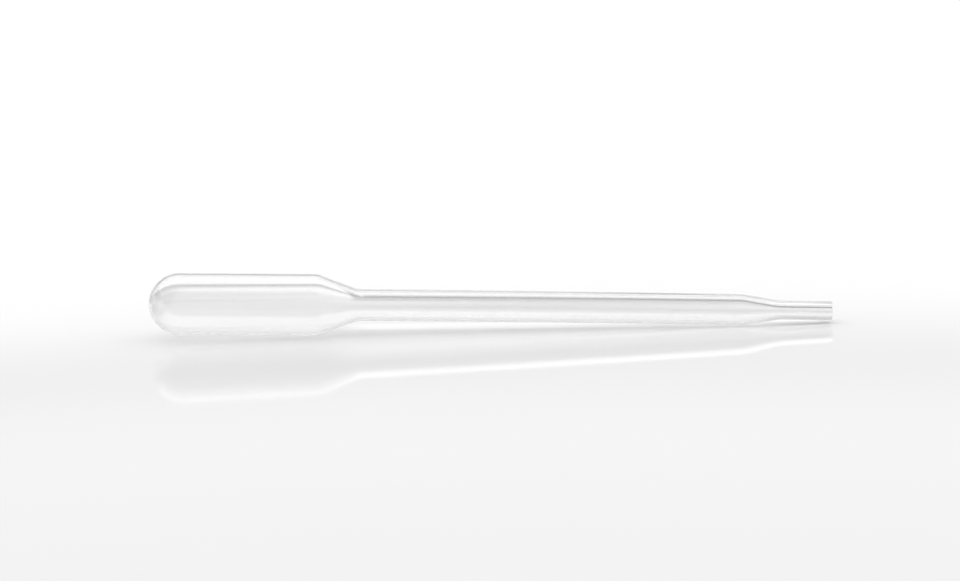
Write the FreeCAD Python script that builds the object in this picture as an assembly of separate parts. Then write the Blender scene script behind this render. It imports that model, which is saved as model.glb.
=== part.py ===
"""Disposable dropper pipette, blow-moulded in one piece from a tube of soft plastic.

Units are millimetres. The pipette lies on a level surface, z = 0, with its round bulb at -X and
its open tip at +X, and it is moulded as a hollow shell: a closed round end, a straight bulb, a
conical shoulder, a long tapering stem that has bowed a little as it cooled, a short step and a
narrow tip that is cut off square. The blow leaves the wall thin where the bore is wide and
thicker where it is narrow.
"""
import FreeCAD, Part

import math
import os

# Lengths along the axis, from the closed end to the open tip
BULB_LENGTH = 38.2       # closed end to the shoulder's edge
SHOULDER_LENGTH = 9.0
STEM_LENGTH = 87.6
STEP_LENGTH = 8.2
TIP_LENGTH = 12.0

# Outside diameters
BULB_DIAMETER = 14.0
NECK_DIAMETER = 7.3      # the stem where it leaves the shoulder
STEM_END_DIAMETER = 7.0  # the stem where the step begins
TIP_DIAMETER = 4.4

# Wall thicknesses, and the bore that the liquid passes
BULB_WALL = 0.45
STEM_WALL = 0.62
TIP_BORE = 2.8

# Radii that the mould gives the outside where one section turns into the next
SHOULDER_BLEND = 3.0
NECK_BLEND = 4.0
STEP_BLEND = 6.0
TIP_BLEND = 8.0
RIM_ROUND = 0.15         # the cut edge of the tip
PLAIN_RUN = 0.6          # straight stem past a blend, before the bow begins

STEM_BOW = 0.5           # degrees that the stem turns down between the shoulder and the step
BOW_SECTIONS = 9         # round sections, a straight cone from each to the next, that make the bow

AXIS = FreeCAD.Vector(1, 0, 0)
ACROSS = FreeCAD.Vector(0, 1, 0)


def at(along, radius):
    """A point of a profile, in the plane that holds the axis."""
    return FreeCAD.Vector(along, 0, radius)


def rounded(corners):
    """Edges through corners given as (along, radius of section, radius of blend), with tangent
    arcs in place of the corners whose blend isn't 0."""
    edges = []
    start = at(*corners[0][:2])
    for before, corner, after in zip(corners, corners[1:], corners[2:]):
        here = at(*corner[:2])
        back = (at(*before[:2]) - here).normalize()
        ahead = (at(*after[:2]) - here).normalize()
        middle = (back + ahead).normalize()
        half_angle = back.getAngle(ahead) / 2
        blend = corner[2]
        if blend:
            run = blend / math.tan(half_angle)
            reach = blend / math.sin(half_angle) - blend
            arc = Part.Arc(here + back * run, here + middle * reach, here + ahead * run)
            edges += [Part.makeLine(start, here + back * run), arc.toShape()]
            start = here + ahead * run
        else:
            edges.append(Part.makeLine(start, here))
            start = here
    edges.append(Part.makeLine(start, at(*corners[-1][:2])))
    return edges


def turned(edges):
    """The solid that a profile, closed along the axis, sweeps round it."""
    face = Part.Face(Part.Wire(edges))
    return face.revolve(FreeCAD.Vector(), AXIS, 360)


def blend_run(blend, angle):
    """How far along its side a tangent arc reaches from the corner that it rounds."""
    return blend * math.tan(abs(angle) / 2)


# Slopes of the two cones, and the plain stubs of stem that their blends run out on
SHOULDER_SLOPE = math.atan2((BULB_DIAMETER - NECK_DIAMETER) / 2, SHOULDER_LENGTH)
STEP_SLOPE = math.atan2((STEM_END_DIAMETER - TIP_DIAMETER) / 2, STEP_LENGTH)
NECK_STUB = blend_run(NECK_BLEND, SHOULDER_SLOPE) + PLAIN_RUN
STEP_STUB = blend_run(STEP_BLEND, STEP_SLOPE) + PLAIN_RUN

NECK_END = BULB_LENGTH + SHOULDER_LENGTH + NECK_STUB
BOWED_LENGTH = STEM_LENGTH - NECK_STUB - STEP_STUB
BOW = math.radians(STEM_BOW)


def stem_place(share):
    """Where the stem's centre line is, and how it is turned, at a share of its bowed length."""
    turn = BOW * share
    chord = BOWED_LENGTH * share * (math.sin(turn / 2) / (turn / 2) if turn else 1)
    centre = FreeCAD.Vector(
        NECK_END + chord * math.cos(turn / 2), 0, -chord * math.sin(turn / 2)
    )
    return FreeCAD.Placement(centre, FreeCAD.Rotation(ACROSS, math.degrees(turn)))


def bulb_skin(bulb_radius, neck_radius, shoulder_blend, neck_blend):
    """The bulb with its round end and its shoulder, as a solid out to one skin of the wall. The
    round end's centre is the same for both skins."""
    centre = BULB_DIAMETER / 2
    pole = at(centre - bulb_radius, 0)
    brow = at(centre - bulb_radius * math.sqrt(0.5), bulb_radius * math.sqrt(0.5))
    cap = Part.Arc(pole, brow, at(centre, bulb_radius)).toShape()
    neck = BULB_LENGTH + SHOULDER_LENGTH
    side = rounded([
        (centre, bulb_radius, 0),
        (BULB_LENGTH, bulb_radius, shoulder_blend),
        (neck, neck_radius, neck_blend),
        (NECK_END, neck_radius, 0),
        (NECK_END, 0, 0),
    ])
    return turned([cap] + side + [Part.makeLine(at(NECK_END, 0), pole)])


def stem_skin(neck_radius, end_radius):
    """The bowed, tapering stem as a solid out to one skin of the wall."""
    sections = []
    for number in range(BOW_SECTIONS):
        share = number / (BOW_SECTIONS - 1)
        radius = neck_radius + (end_radius - neck_radius) * share
        ring = Part.Wire(Part.makeCircle(radius, FreeCAD.Vector(), AXIS))
        ring.Placement = stem_place(share)
        sections.append(ring)
    return Part.makeLoft(sections, True, True)


def tip_skin(stem_radius, tip_radius, step_blend, tip_blend, rim_round, past_end):
    """The step and the tip as a solid out to one skin of the wall, in line with the stem's end."""
    step = STEP_STUB + STEP_LENGTH
    end = step + TIP_LENGTH + past_end
    side = rounded([
        (0, 0, 0),
        (0, stem_radius, 0),
        (STEP_STUB, stem_radius, step_blend),
        (step, tip_radius, tip_blend),
        (end, tip_radius, rim_round),
        (end, 0, 0),
    ])
    solid = turned(side + [Part.makeLine(at(end, 0), at(0, 0))])
    solid.Placement = stem_place(1)
    return solid


def skin(bulb, stem, tip):
    """The three lengths of one skin joined end to end."""
    return bulb.fuse([stem, tip]).removeSplitter()


def resting_turn():
    """Degrees to turn the pipette about Y so that the shoulder's rounded edge and the rounded
    start of the step are level, because those are the two places that it lies on."""
    shoulder_arc = FreeCAD.Vector(
        BULB_LENGTH - blend_run(SHOULDER_BLEND, SHOULDER_SLOPE), 0,
        SHOULDER_BLEND - BULB_DIAMETER / 2,
    )
    step_arc = stem_place(1).multVec(
        FreeCAD.Vector(PLAIN_RUN, 0, STEP_BLEND - STEM_END_DIAMETER / 2)
    )
    between = step_arc - shoulder_arc
    level = math.atan2(between.z, between.x)
    lean = math.asin((STEP_BLEND - SHOULDER_BLEND) / between.Length)
    return math.degrees(level - lean)


outside = skin(
    bulb_skin(BULB_DIAMETER / 2, NECK_DIAMETER / 2, SHOULDER_BLEND, NECK_BLEND),
    stem_skin(NECK_DIAMETER / 2, STEM_END_DIAMETER / 2),
    tip_skin(STEM_END_DIAMETER / 2, TIP_DIAMETER / 2, STEP_BLEND, TIP_BLEND, RIM_ROUND, 0),
)
inside = skin(
    bulb_skin(BULB_DIAMETER / 2 - BULB_WALL, NECK_DIAMETER / 2 - STEM_WALL,
              SHOULDER_BLEND, NECK_BLEND),
    stem_skin(NECK_DIAMETER / 2 - STEM_WALL, STEM_END_DIAMETER / 2 - STEM_WALL),
    tip_skin(STEM_END_DIAMETER / 2 - STEM_WALL, TIP_BORE / 2, STEP_BLEND, TIP_BLEND,
             0, TIP_DIAMETER),
)
pipette = outside.cut(inside)

# Laid down on its shoulder and the end of its stem, over the middle of the row's frame
pipette.rotate(FreeCAD.Vector(), ACROSS, resting_turn())
box = pipette.optimalBoundingBox(False, False)
pipette.translate(FreeCAD.Vector(-box.Center.x, 0, -box.ZMin))

os.makedirs("parts", exist_ok=True)
pipette.Solids[0].exportStep("parts/pipette.step")
box = pipette.optimalBoundingBox(False, False)
print("solids", len(pipette.Solids), "valid", pipette.isValid())
print("volume mm3", round(pipette.Volume, 2), "turn deg", round(resting_turn(), 4))
print("box", [round(v, 4) for v in (box.XMin, box.YMin, box.ZMin, box.XMax, box.YMax, box.ZMax)])
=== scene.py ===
"""The looks of a disposable dropper pipette: one thin, clear, blow-moulded shell that lies on a
white glossy sheet under a long softbox.

Lengths are in millimetres until MM turns them to the scene's metres. +X runs from the closed end
of the bulb to the open tip, and +Z is up.
"""
import math

import bmesh
import bpy
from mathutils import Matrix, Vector


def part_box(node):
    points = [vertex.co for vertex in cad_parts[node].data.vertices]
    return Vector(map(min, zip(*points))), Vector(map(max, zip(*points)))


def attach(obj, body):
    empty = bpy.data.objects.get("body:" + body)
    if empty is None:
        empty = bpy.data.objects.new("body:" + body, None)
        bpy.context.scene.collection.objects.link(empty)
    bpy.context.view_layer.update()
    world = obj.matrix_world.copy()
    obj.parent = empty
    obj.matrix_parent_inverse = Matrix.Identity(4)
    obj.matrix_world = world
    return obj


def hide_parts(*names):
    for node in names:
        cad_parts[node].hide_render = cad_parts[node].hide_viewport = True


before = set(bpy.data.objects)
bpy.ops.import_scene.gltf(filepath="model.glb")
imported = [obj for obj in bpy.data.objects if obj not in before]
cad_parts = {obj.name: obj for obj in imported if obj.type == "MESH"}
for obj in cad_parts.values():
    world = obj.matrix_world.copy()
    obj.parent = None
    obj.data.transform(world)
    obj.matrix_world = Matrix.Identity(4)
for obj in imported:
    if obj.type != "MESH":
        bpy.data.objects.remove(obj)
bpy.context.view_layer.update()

MM = 0.001
scene = bpy.context.scene


# ---------------------------------------------------------------- helpers

def deselect_all():
    bpy.ops.object.select_all(action="DESELECT")


def select_points(test):
    """In edit mode, selects only the points whose place, in millimetres, passes the test."""
    mesh = bmesh.from_edit_mesh(bpy.context.edit_object.data)
    for point in mesh.verts:
        point.select_set(test(point.co / MM))
    mesh.select_flush_mode()
    bmesh.update_edit_mesh(bpy.context.edit_object.data)


def linear(code):
    """The linear colour, with alpha, of an sRGB hex value such as F2F4F5."""
    parts = [int(code[i:i + 2], 16) / 255 for i in (0, 2, 4)]
    flat = [p / 12.92 if p <= 0.04045 else ((p + 0.055) / 1.055) ** 2.4 for p in parts]
    return (*flat, 1.0)


def add(tree, kind, settings=None, links=None):
    """A node with its settings, each an attribute or an input's value, and with what is linked
    to its inputs. The stops of a ramp are (place, grey) pairs."""
    node = tree.nodes.new(kind)
    for key, value in (settings or {}).items():
        if key == "stops":
            ramp = node.color_ramp.elements
            while len(ramp) > 1:
                ramp.remove(ramp[0])
            ramp[0].position, ramp[0].color = value[0][0], (value[0][1],) * 3 + (1,)
            for place, grey in value[1:]:
                ramp.new(place).color = (grey, grey, grey, 1)
        elif isinstance(key, str) and hasattr(node, key):
            setattr(node, key, value)
        else:
            node.inputs[key].default_value = value
    for key, socket in (links or {}).items():
        tree.links.new(socket, node.inputs[key])
    return node


def graded(tree, stops, length):
    """The grey that stops of (millimetres, grey) give at a length, the same on past both ends."""
    first, last = stops[0][0], stops[-1][0]
    share = add(tree, "ShaderNodeMapRange", {"From Min": first * MM, "From Max": last * MM},
                {"Value": length})
    places = [((mm - first) / (last - first), grey) for mm, grey in stops]
    ramp = add(tree, "ShaderNodeValToRGB", {"stops": places}, {"Fac": share.outputs["Result"]})
    return ramp.outputs["Color"]


def blended(tree, one, other, share):
    """One colour that goes over into the other as the share goes from 0 to 1."""
    return add(tree, "ShaderNodeMix", {"data_type": "RGBA"},
               {0: share, 6: one, 7: other}).outputs[2]


# ---------------------------------------------------------------- the pipette

# Outside of the shell as (along the axis, radius, blend radius at the corner, steps in the blend)
OUTSIDE = [
    (0, 0, 0, 0),
    (0, 7.0, 7.0, 32),           # the round closed end
    (38.2, 7.0, 3.0, 10),        # the bulb turns into the shoulder
    (47.2, 3.65, 4.0, 12),       # the shoulder turns into the stem
    (134.8, 3.5, 6.0, 10),       # the stem turns into the step
    (143.0, 2.2, 8.0, 10),       # the step turns into the tip
    (155.0, 2.2, 0.15, 4),       # the cut edge
]
# The bore back from the tip, in the same terms. The wall is thinner where it was blown wider.
INSIDE = [
    (155.0, 1.4, 0.08, 2),
    (143.0, 1.4, 8.0, 10),
    (134.8, 2.88, 6.0, 10),
    (47.2, 3.03, 4.0, 12),
    (38.2, 6.55, 3.0, 10),
    (0.45, 6.55, 6.55, 32),
    (0.45, 0, 0, 0),
]
BOW_START = 48.52     # the stem bows from here
BOW_LENGTH = 85.21
BOW_ANGLE = math.radians(0.5)
BOW_STEPS = 8
LIE_ANGLE = math.radians(1.849)   # lies on its shoulder and the end of its stem
ROUND_STEPS = 160
SAME_POINT = 0.01     # points nearer than this to a corner are the corner
MERGE = 0.004
CREASE = math.radians(40)


def draw_profile(corners):
    """Draws the shell's half section as one run of edges, by extruding a point from corner to
    corner, and then rounds its corners."""
    bpy.ops.mesh.primitive_plane_add(size=MM)
    bpy.ops.object.mode_set(mode="EDIT")
    bpy.ops.mesh.select_mode(type="VERT")
    bpy.ops.mesh.select_all(action="SELECT")
    bpy.ops.mesh.merge(type="CENTER")
    places = [Vector((along, 0, radius)) for along, radius, _, _ in corners]
    for here, there in zip(places, places[1:]):
        bpy.ops.mesh.extrude_vertices_move(
            TRANSFORM_OT_translate={"value": (there - here) * MM})
    for before, here, after, (_, _, blend, steps) in zip(
            places, places[1:], places[2:], corners[1:]):
        turn = (here - before).angle(after - here)
        select_points(lambda place: (place - here).length < SAME_POINT)
        bpy.ops.mesh.bevel(
            offset=blend * math.tan(turn / 2) * MM, offset_type="OFFSET", segments=steps,
            profile=0.5, affect="VERTICES", clamp_overlap=False)


def cut_stem():
    """Cuts the stem's two long edges where the bow will turn them."""
    step = BOW_LENGTH / BOW_STEPS
    for number in range(BOW_STEPS + 1):
        along = (BOW_START + step * number) * MM
        bpy.ops.mesh.select_all(action="SELECT")
        bpy.ops.mesh.bisect(plane_co=(along, 0, 0), plane_no=(1, 0, 0))


def bow_stem():
    """Turns the stem down a little at each cut, all that lies beyond it going along."""
    half = BOW_LENGTH / BOW_STEPS / 2
    turn = BOW_ANGLE / BOW_STEPS
    heading, place = 0.0, Vector((BOW_START, 0, 0))
    for _ in range(BOW_STEPS):
        place += half * Vector((math.cos(heading), 0, -math.sin(heading)))
        select_points(lambda point: point.x > place.x)
        bpy.ops.transform.rotate(
            value=-turn, orient_axis="Y", center_override=place * MM)
        heading += turn
        place += half * Vector((math.cos(heading), 0, -math.sin(heading)))


def lay_down(piece):
    """Leans the piece onto its shoulder and stem, over the middle of the frame's footprint."""
    lo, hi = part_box("pipette")
    piece.rotation_euler = (0, LIE_ANGLE, 0)
    bpy.ops.object.transform_apply(location=False, rotation=True, scale=False)
    along = [point.co.x for point in piece.data.vertices]
    lowest = min(point.co.z for point in piece.data.vertices)
    middle = (min(along) + max(along)) / 2
    piece.location = ((lo.x + hi.x) / 2 - middle, 0, lo.z - lowest)
    bpy.ops.object.transform_apply(location=True, rotation=False, scale=False)


def model_pipette():
    deselect_all()
    draw_profile(OUTSIDE + INSIDE)
    cut_stem()
    bpy.ops.mesh.select_all(action="SELECT")
    bpy.ops.mesh.spin(steps=ROUND_STEPS, angle=math.tau, center=(0, 0, 0), axis=(1, 0, 0))
    bpy.ops.mesh.select_all(action="SELECT")
    bpy.ops.mesh.remove_doubles(threshold=MERGE * MM)
    bpy.ops.mesh.normals_make_consistent(inside=False)
    bow_stem()
    bpy.ops.object.mode_set(mode="OBJECT")
    piece = bpy.context.active_object
    piece.name = piece.data.name = "pipette_shell"
    lay_down(piece)
    bpy.ops.object.shade_smooth_by_angle(angle=CREASE)
    return piece


# ---------------------------------------------------------------- materials

LDPE_IOR = 1.51
CLEARNESS = 0.985     # share of the light that the plastic passes, its milk keeping the rest


def moulded_ldpe():
    """Natural low-density polyethylene, blow-moulded: clear with a breath of milk, glossy, and
    faintly streaked along its length by the die."""
    material = bpy.data.materials.new("moulded_ldpe")
    material.use_nodes = True
    tree = material.node_tree
    tree.nodes.clear()
    shader = add(tree, "ShaderNodeBsdfPrincipled", {
        "Base Color": linear("FEFEFE"),
        "Transmission Weight": CLEARNESS,
        "Roughness": 0.01,
        "IOR": LDPE_IOR,
    })
    place = add(tree, "ShaderNodeTexCoord").outputs["Object"]
    along = add(tree, "ShaderNodeMapping", {"Scale": (0.04, 1, 1)}, {"Vector": place})
    streaks = add(tree, "ShaderNodeTexNoise", {"Scale": 900, "Detail": 2.0},
                  {"Vector": along.outputs["Vector"]})
    bump = add(tree, "ShaderNodeBump", {"Strength": 0.004, "Distance": 0.0001},
               {"Height": streaks.outputs["Fac"]})
    tree.links.new(bump.outputs["Normal"], shader.inputs["Normal"])
    # light that has been mirrored more than twice, as happens inside the wall, meets its milk
    # and spreads
    path = add(tree, "ShaderNodeLightPath")
    fresh = add(tree, "ShaderNodeMath", {"operation": "LESS_THAN", 1: 2.5},
                {0: path.outputs["Glossy Depth"]})
    clear = add(tree, "ShaderNodeMath", {"operation": "MULTIPLY", 1: CLEARNESS},
                {0: fresh.outputs[0]})
    tree.links.new(clear.outputs[0], shader.inputs["Transmission Weight"])
    # so thin a wall lets lamplight straight through to the sheet. The share at each place along
    # it is given, and is low at the tip to give that a dark shadow. Edge on it is the same
    # all over.
    grazing = add(tree, "ShaderNodeFresnel", {"IOR": LDPE_IOR})
    spot = add(tree, "ShaderNodeSeparateXYZ", {}, {"Vector": place})
    body = graded(tree, [(-38, 0.99), (-28, 0.94), (60, 0.94), (68, 0.55)], spot.outputs["X"])
    tint = add(tree, "ShaderNodeMix", {"data_type": "RGBA", 7: linear("DEDEDE")},
               {0: grazing.outputs["Fac"], 6: body})
    through = add(tree, "ShaderNodeBsdfTransparent", {}, {"Color": tint.outputs[2]})
    lit = add(tree, "ShaderNodeMixShader", {}, {
        0: path.outputs["Is Shadow Ray"], 1: shader.outputs["BSDF"], 2: through.outputs["BSDF"]})
    wall = add(tree, "ShaderNodeMixShader", {}, {
        0: path.outputs["Is Diffuse Ray"], 1: lit.outputs["Shader"], 2: through.outputs["BSDF"]})
    add(tree, "ShaderNodeOutputMaterial", {}, {"Surface": wall.outputs["Shader"]})
    return material


def white_acrylic():
    """Cast white acrylic sheet: an even white body under a glossy face, which mirrors what
    lies on it and softens what stands further off."""
    material = bpy.data.materials.new("white_acrylic")
    material.use_nodes = True
    tree = material.node_tree
    tree.nodes.clear()
    shader = add(tree, "ShaderNodeBsdfPrincipled", {
        "Base Color": linear("DADADA"),
        "Roughness": 0.07,
        "IOR": 1.49,
    })
    add(tree, "ShaderNodeOutputMaterial", {}, {"Surface": shader.outputs["BSDF"]})
    return material


NET_FOLD, NET_REACH = 85, 127     # how far out the net turns up, and how far it reaches in all
# The shares of light that the net lets through, as (millimetres out over the net, share), which
# paint shade into what is seen through the wall. These are for light that comes straight
# through the wall: off the closed end, and at the bulb, the stem and the tip.
END_NET = [(10, 1.0), (24, 0.72), (60, 0.62), (76.5, 0.50), (85.7, 0.48), (86.4, 0.88),
           (115, 0.88), (127, 0.94)]
BULB_NET = [(40.5, 1.0), (41.5, 0.94), (49.5, 0.94), (50.5, 0.88), (69.5, 0.88), (70.5, 0.75),
            (75.5, 0.72), (76.5, 0.48), (85.7, 0.48), (86.4, 0.88), (115, 0.88), (127, 0.94)]
STEM_NET = [(40.5, 1.0), (41.5, 0.94), (43.5, 0.94), (44.5, 0.80), (51.5, 0.75), (52.5, 0.63),
            (59.5, 0.63), (60.5, 0.54), (69.5, 0.50), (76.5, 0.36), (77.5, 0.27),
            (86.5, 0.27), (89, 0.50), (92, 0.66), (97, 0.76), (115, 0.76), (127, 0.90)]
TIP_NET = [(20, 1.0), (30, 0.82), (40, 0.63), (51.5, 0.46), (60, 0.32), (76.5, 0.24),
           (86.5, 0.24), (89, 0.42), (92, 0.62), (97, 0.70), (115, 0.70), (127, 0.90)]
# These are for light that the sheet or the rim of the wall has mirrored: painted shade
RIM_NET = [(40.5, 1.0), (41.5, 0.75), (49.5, 0.75), (50.5, 0.55), (115, 0.55), (127, 0.75)]
TIP_RIM_NET = [(0, 0.62), (8, 0.62), (14, 1.0), (40.5, 1.0), (41.5, 0.75), (49.5, 0.75),
               (50.5, 0.55), (115, 0.55), (127, 0.75)]
# And these are for light that comes up from under the net, again painted shade
BULB_UNDER = [(40.5, 1.0), (41.5, 0.75), (49.5, 0.75), (50.5, 0.55), (76.5, 0.55), (77.5, 0.0),
              (85.7, 0.0), (86.2, 0.55), (115, 0.55), (127, 0.75)]
STEM_UNDER = [(40.5, 1.0), (41.5, 0.75), (49.5, 0.75), (51.5, 0.55), (52.5, 0.2), (85.7, 0.2),
              (90, 0.55), (115, 0.55), (127, 0.75)]


def black_net():
    """Black net that lets a share of the light through, more or less of it from place to place:
    painted shade for the soft grey lines inside the clear wall."""
    material = bpy.data.materials.new("black_net")
    material.use_nodes = True
    tree = material.node_tree
    tree.nodes.clear()
    place = add(tree, "ShaderNodeTexCoord").outputs["Object"]
    x, y, z = add(tree, "ShaderNodeSeparateXYZ", {}, {"Vector": place}).outputs
    side = add(tree, "ShaderNodeMath", {"operation": "ABSOLUTE"}, {0: y})
    out = add(tree, "ShaderNodeMath", {"operation": "ADD"}, {0: side.outputs[0], 1: z}).outputs[0]
    end, bulb, stem, tip, rim, tip_rim, bulb_under, stem_under = [
        graded(tree, stops, out)
        for stops in (END_NET, BULB_NET, STEM_NET, TIP_NET, RIM_NET, TIP_RIM_NET,
                      BULB_UNDER, STEM_UNDER)]
    # along the object each set of shares goes over into the next
    off_end = graded(tree, [(-88, 1), (-77, 0)], x)
    past_neck = graded(tree, [(-33.5, 0), (-32.5, 1)], x)
    down_stem = graded(tree, [(-30, 0), (55, 1)], x)
    past_step = graded(tree, [(61, 0), (67, 1)], x)
    straight = blended(tree, blended(tree, bulb, end, off_end),
                       blended(tree, stem, tip, down_stem), past_neck)
    # painted shade in the reflection: mirrored light that has passed both sides of the shell is
    # dimmed in full, and that which has only turned round in its rim is dimmed less along the
    # stem
    rim = blended(tree, rim, tip_rim, past_step)
    dimming = graded(tree, [
        (-33.5, 1), (-32.5, 0.36), (20, 0.36), (40, 1), (55, 1), (62, 0.36)], x)
    white = add(tree, "ShaderNodeRGB").outputs[0]
    white.default_value = linear("FFFFFF")
    path = add(tree, "ShaderNodeLightPath")
    both_sides = add(tree, "ShaderNodeMath", {"operation": "GREATER_THAN", 1: 3.5},
                     {0: path.outputs["Transmission Depth"]}).outputs[0]
    mirrored = blended(tree, blended(tree, white, rim, dimming), rim, both_sides)
    above = blended(tree, straight, mirrored, path.outputs["Glossy Depth"])
    under = blended(tree, bulb_under, stem_under, past_neck)
    from_under = add(tree, "ShaderNodeNewGeometry").outputs["Backfacing"]
    net = add(tree, "ShaderNodeBsdfTransparent", {},
              {"Color": blended(tree, above, under, from_under)})
    add(tree, "ShaderNodeOutputMaterial", {}, {"Surface": net.outputs["BSDF"]})
    return material


def gathered_light():
    """Painted light, a glow standing for the light that a clear round wall gathers on the sheet
    under it, fading to each side.
    """
    material = bpy.data.materials.new("gathered_light")
    material.use_nodes = True
    tree = material.node_tree
    tree.nodes.clear()
    place = add(tree, "ShaderNodeTexCoord").outputs["Object"]
    across = add(tree, "ShaderNodeSeparateXYZ", {}, {"Vector": place}).outputs["Y"]
    off = add(tree, "ShaderNodeMath", {"operation": "ABSOLUTE"}, {0: across})
    share = add(tree, "ShaderNodeMapRange", {
        "interpolation_type": "SMOOTHSTEP", "From Min": 10 * MM, "From Max": 4 * MM},
        {"Value": off.outputs[0]})
    glow = add(tree, "ShaderNodeEmission", {"Color": linear("F0F0F0")})
    clear = add(tree, "ShaderNodeBsdfTransparent")
    both = add(tree, "ShaderNodeMixShader", {}, {
        0: share.outputs["Result"], 1: clear.outputs["BSDF"], 2: glow.outputs["Emission"]})
    add(tree, "ShaderNodeOutputMaterial", {}, {"Surface": both.outputs["Shader"]})
    return material


STREAK_TOUCH = 58      # along X, about where the stem comes down to the sheet
STREAK_NEAREST = 1.4   # how far behind the axis the middle of the streak is there
STREAK_SLOPE = 0.07    # how fast it parts from the axis to either side


def thrown_light():
    """Painted light, a glow for the streak of light that the stem and the tip throw on the sheet
    just behind themselves.
    """
    material = bpy.data.materials.new("thrown_light")
    material.use_nodes = True
    tree = material.node_tree
    tree.nodes.clear()
    place = add(tree, "ShaderNodeTexCoord").outputs["Object"]
    x, y, _ = add(tree, "ShaderNodeSeparateXYZ", {}, {"Vector": place}).outputs
    past = add(tree, "ShaderNodeMath", {"operation": "SUBTRACT", 1: STREAK_TOUCH * MM}, {0: x})
    apart = add(tree, "ShaderNodeMath", {"operation": "ABSOLUTE"}, {0: past.outputs[0]})
    middle = add(tree, "ShaderNodeMath", {
        "operation": "MULTIPLY_ADD", 1: STREAK_SLOPE, 2: STREAK_NEAREST * MM},
        {0: apart.outputs[0]})
    off = add(tree, "ShaderNodeMath", {"operation": "SUBTRACT"}, {0: y, 1: middle.outputs[0]})
    far = add(tree, "ShaderNodeMath", {"operation": "ABSOLUTE"}, {0: off.outputs[0]})
    near = add(tree, "ShaderNodeMapRange", {
        "interpolation_type": "SMOOTHSTEP", "From Min": 4.5 * MM, "From Max": 1.5 * MM},
        {"Value": far.outputs[0]})
    along = graded(tree, [
        (-36, 0.0), (-28, 0.09), (50, 0.09), (62, 0.19), (74, 0.19), (78, 0.0)], x)
    glow = add(tree, "ShaderNodeEmission", {}, {
        "Color": along, "Strength": near.outputs["Result"]})
    clear = add(tree, "ShaderNodeBsdfTransparent")
    both = add(tree, "ShaderNodeAddShader", {}, {
        0: clear.outputs["BSDF"], 1: glow.outputs["Emission"]})
    add(tree, "ShaderNodeOutputMaterial", {}, {"Surface": both.outputs["Shader"]})
    return material


# ---------------------------------------------------------------- stage

SOFTBOX = 2.2     # how much brighter the softbox is than plain white


def studio_light():
    """A long softbox overhead, a white backdrop low all round, and a dimmer gap between them."""
    world = bpy.data.worlds.new("studio")
    scene.world = world
    world.use_nodes = True
    tree = world.node_tree
    tree.nodes.clear()
    way = add(tree, "ShaderNodeTexCoord").outputs["Generated"]
    x, y, z = add(tree, "ShaderNodeSeparateXYZ", {}, {"Vector": way}).outputs
    # low down, brightness goes by height above the horizon, as the sine of its angle
    low = add(tree, "ShaderNodeValToRGB", {"stops": [
        (0.0, 1.12), (0.190, 1.12), (0.1965, 1.08), (0.2014, 1.0), (0.2061, 0.87),
        (0.2108, 0.76), (0.2134, 0.68), (0.2185, 0.63), (0.2250, 0.63), (0.2310, 0.69),
        (0.2344, 0.82), (0.2588, 0.80), (0.3107, 0.63), (0.345, 0.75), (0.470, 0.95),
    ]}, {"Fac": z})
    # higher up it goes round from behind the object (0) over the top (0.5) to the front (1)
    turn = add(tree, "ShaderNodeMath", {"operation": "ARCTAN2"}, {0: z, 1: y})
    share = add(tree, "ShaderNodeMath", {"operation": "DIVIDE", 1: math.pi},
                {0: turn.outputs[0]})
    high = add(tree, "ShaderNodeValToRGB", {"stops": [
        (0.0, 0.45), (0.17, 0.43), (0.25, 0.43), (0.32, 0.90), (0.478, 0.90), (0.50, 1.0),
        (0.622, 1.0), (0.656, 0.62), (0.70, 0.22), (0.833, 0.07), (0.90, 0.02), (1.0, 0.02),
    ]}, {"Fac": share.outputs[0]})
    box_light = add(tree, "ShaderNodeMix", {
        "data_type": "RGBA", "blend_type": "MULTIPLY", 0: 1.0, 7: (SOFTBOX,) * 3 + (1,)},
        {6: high.outputs["Color"]})
    # the white backdrop stands behind and at the sides only
    above = add(tree, "ShaderNodeMapRange", {
        "interpolation_type": "SMOOTHSTEP", "From Min": 0.470, "From Max": 0.50}, {"Value": z})
    before = add(tree, "ShaderNodeMapRange", {
        "interpolation_type": "SMOOTHSTEP", "From Min": -0.2, "From Max": -0.6}, {"Value": y})
    either = add(tree, "ShaderNodeMath", {"operation": "MAXIMUM"},
                 {0: above.outputs["Result"], 1: before.outputs["Result"]})
    around = blended(tree, low.outputs["Color"], box_light.outputs[2], either.outputs[0])
    # what the camera sees straight is plain white
    path = add(tree, "ShaderNodeLightPath")
    seen = add(tree, "ShaderNodeMix", {"data_type": "RGBA", 7: (1, 1, 1, 1)},
               {0: path.outputs["Is Camera Ray"], 6: around})
    light = add(tree, "ShaderNodeBackground", {}, {"Color": seen.outputs[2]})
    add(tree, "ShaderNodeOutputWorld", {}, {"Surface": light.outputs["Background"]})


def lay_sheet(name, side, middle, stretch, material):
    """A flat sheet of a material: a square of a side, its middle at a place, that is then
    stretched along X."""
    deselect_all()
    bpy.ops.mesh.primitive_plane_add(size=side * MM, location=Vector(middle) * MM)
    sheet = bpy.context.active_object
    sheet.name = name
    bpy.ops.transform.resize(value=(stretch, 1, 1))
    bpy.ops.object.transform_apply(location=True, rotation=False, scale=True)
    sheet.data.materials.append(material)
    return sheet


def hide_from(piece, *rays):
    """Leaves a piece of the stage out of what some kinds of ray meet."""
    for kind in rays:
        setattr(piece, f"visible_{kind}", False)


def lay_floor():
    floor = lay_sheet("floor", 14000, (0, 0, 0), 1, white_acrylic())


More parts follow.
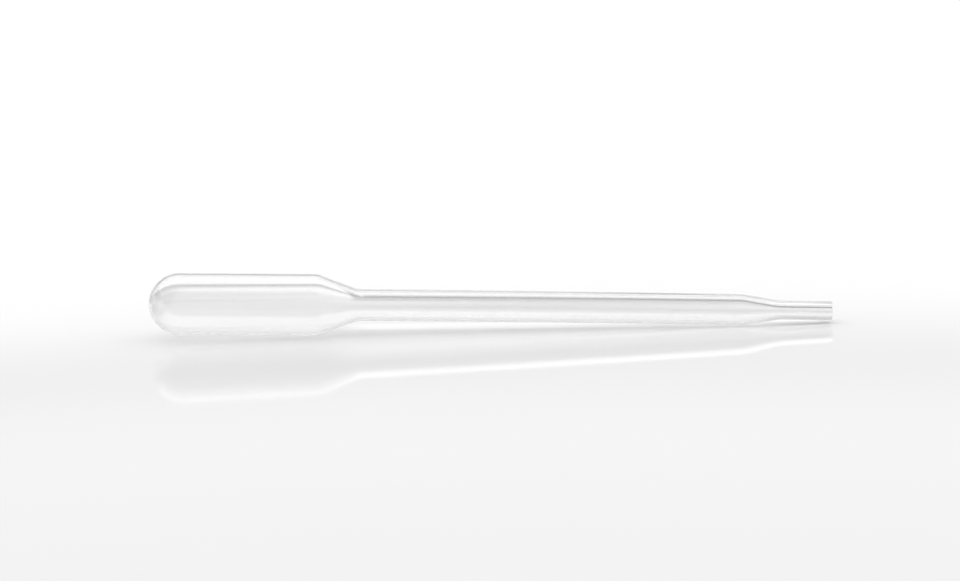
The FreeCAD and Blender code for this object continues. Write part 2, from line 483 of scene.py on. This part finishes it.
def lay_net():
    """One net that lies flat round the object and turns up at its long edges. It shows only
    through the clear wall, where its painted shade draws the dark line that gives it an edge."""
    net = lay_sheet("net", 2 * NET_FOLD, (0, 0, 0.3), 3, black_net())
    bpy.ops.object.mode_set(mode="EDIT")
    bpy.ops.mesh.select_mode(type="EDGE")
    mesh = bmesh.from_edit_mesh(net.data)
    for edge in mesh.edges:
        edge.select_set(abs(edge.verts[0].co.y - edge.verts[1].co.y) < 0.1 * MM)
    bmesh.update_edit_mesh(net.data)
    bpy.ops.mesh.extrude_edges_move(
        TRANSFORM_OT_translate={"value": (0, 0, (NET_REACH - NET_FOLD) * MM)})
    bpy.ops.mesh.select_all(action="SELECT")
    bpy.ops.mesh.normals_make_consistent(inside=True)
    bpy.ops.object.mode_set(mode="OBJECT")
    hide_from(net, "camera", "diffuse", "glossy", "shadow")


def lay_glow():
    """The gathered light under the object, painted as a glow. It shows only through the wall,
    where it keeps the lower edge as light as the rest."""
    glow = lay_sheet("glow", 20, (0, 0, 0.02), 8, gathered_light())
    hide_from(glow, "camera", "diffuse", "glossy", "shadow")


def lay_streak():
    """The thrown light, painted as a glow, which only the camera sees."""
    streak = lay_sheet("streak", 20, (20, 6, 0.03), 6.5, thrown_light())
    hide_from(streak, "diffuse", "glossy", "transmission", "shadow")


def place_camera():
    """An 85 mm lens about half a metre off, 11 degrees above the sheet, leaning 1.4 degrees."""
    aim = Vector((-2.32, 0, 9.37)) * MM
    away = 514.3 * MM
    rise, lean = math.radians(11), math.radians(1.406)
    back = Vector((0, -math.cos(rise), math.sin(rise)))
    data = bpy.data.cameras.new("camera")
    data.lens, data.sensor_width = 85, 36
    data.clip_start, data.clip_end = 0.01, 100
    camera = bpy.data.objects.new("camera", data)
    scene.collection.objects.link(camera)
    camera.location = aim + back * away
    camera.rotation_euler = (-back).to_track_quat("-Z", "Y").to_euler()
    camera.rotation_euler.rotate_axis("Z", -lean)
    scene.camera = camera


pipette = model_pipette()
pipette.data.materials.append(moulded_ldpe())
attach(pipette, "root")
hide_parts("pipette")

studio_light()
lay_floor()
lay_net()
lay_glow()
lay_streak()
place_camera()
scene.view_settings.view_transform = "Standard"
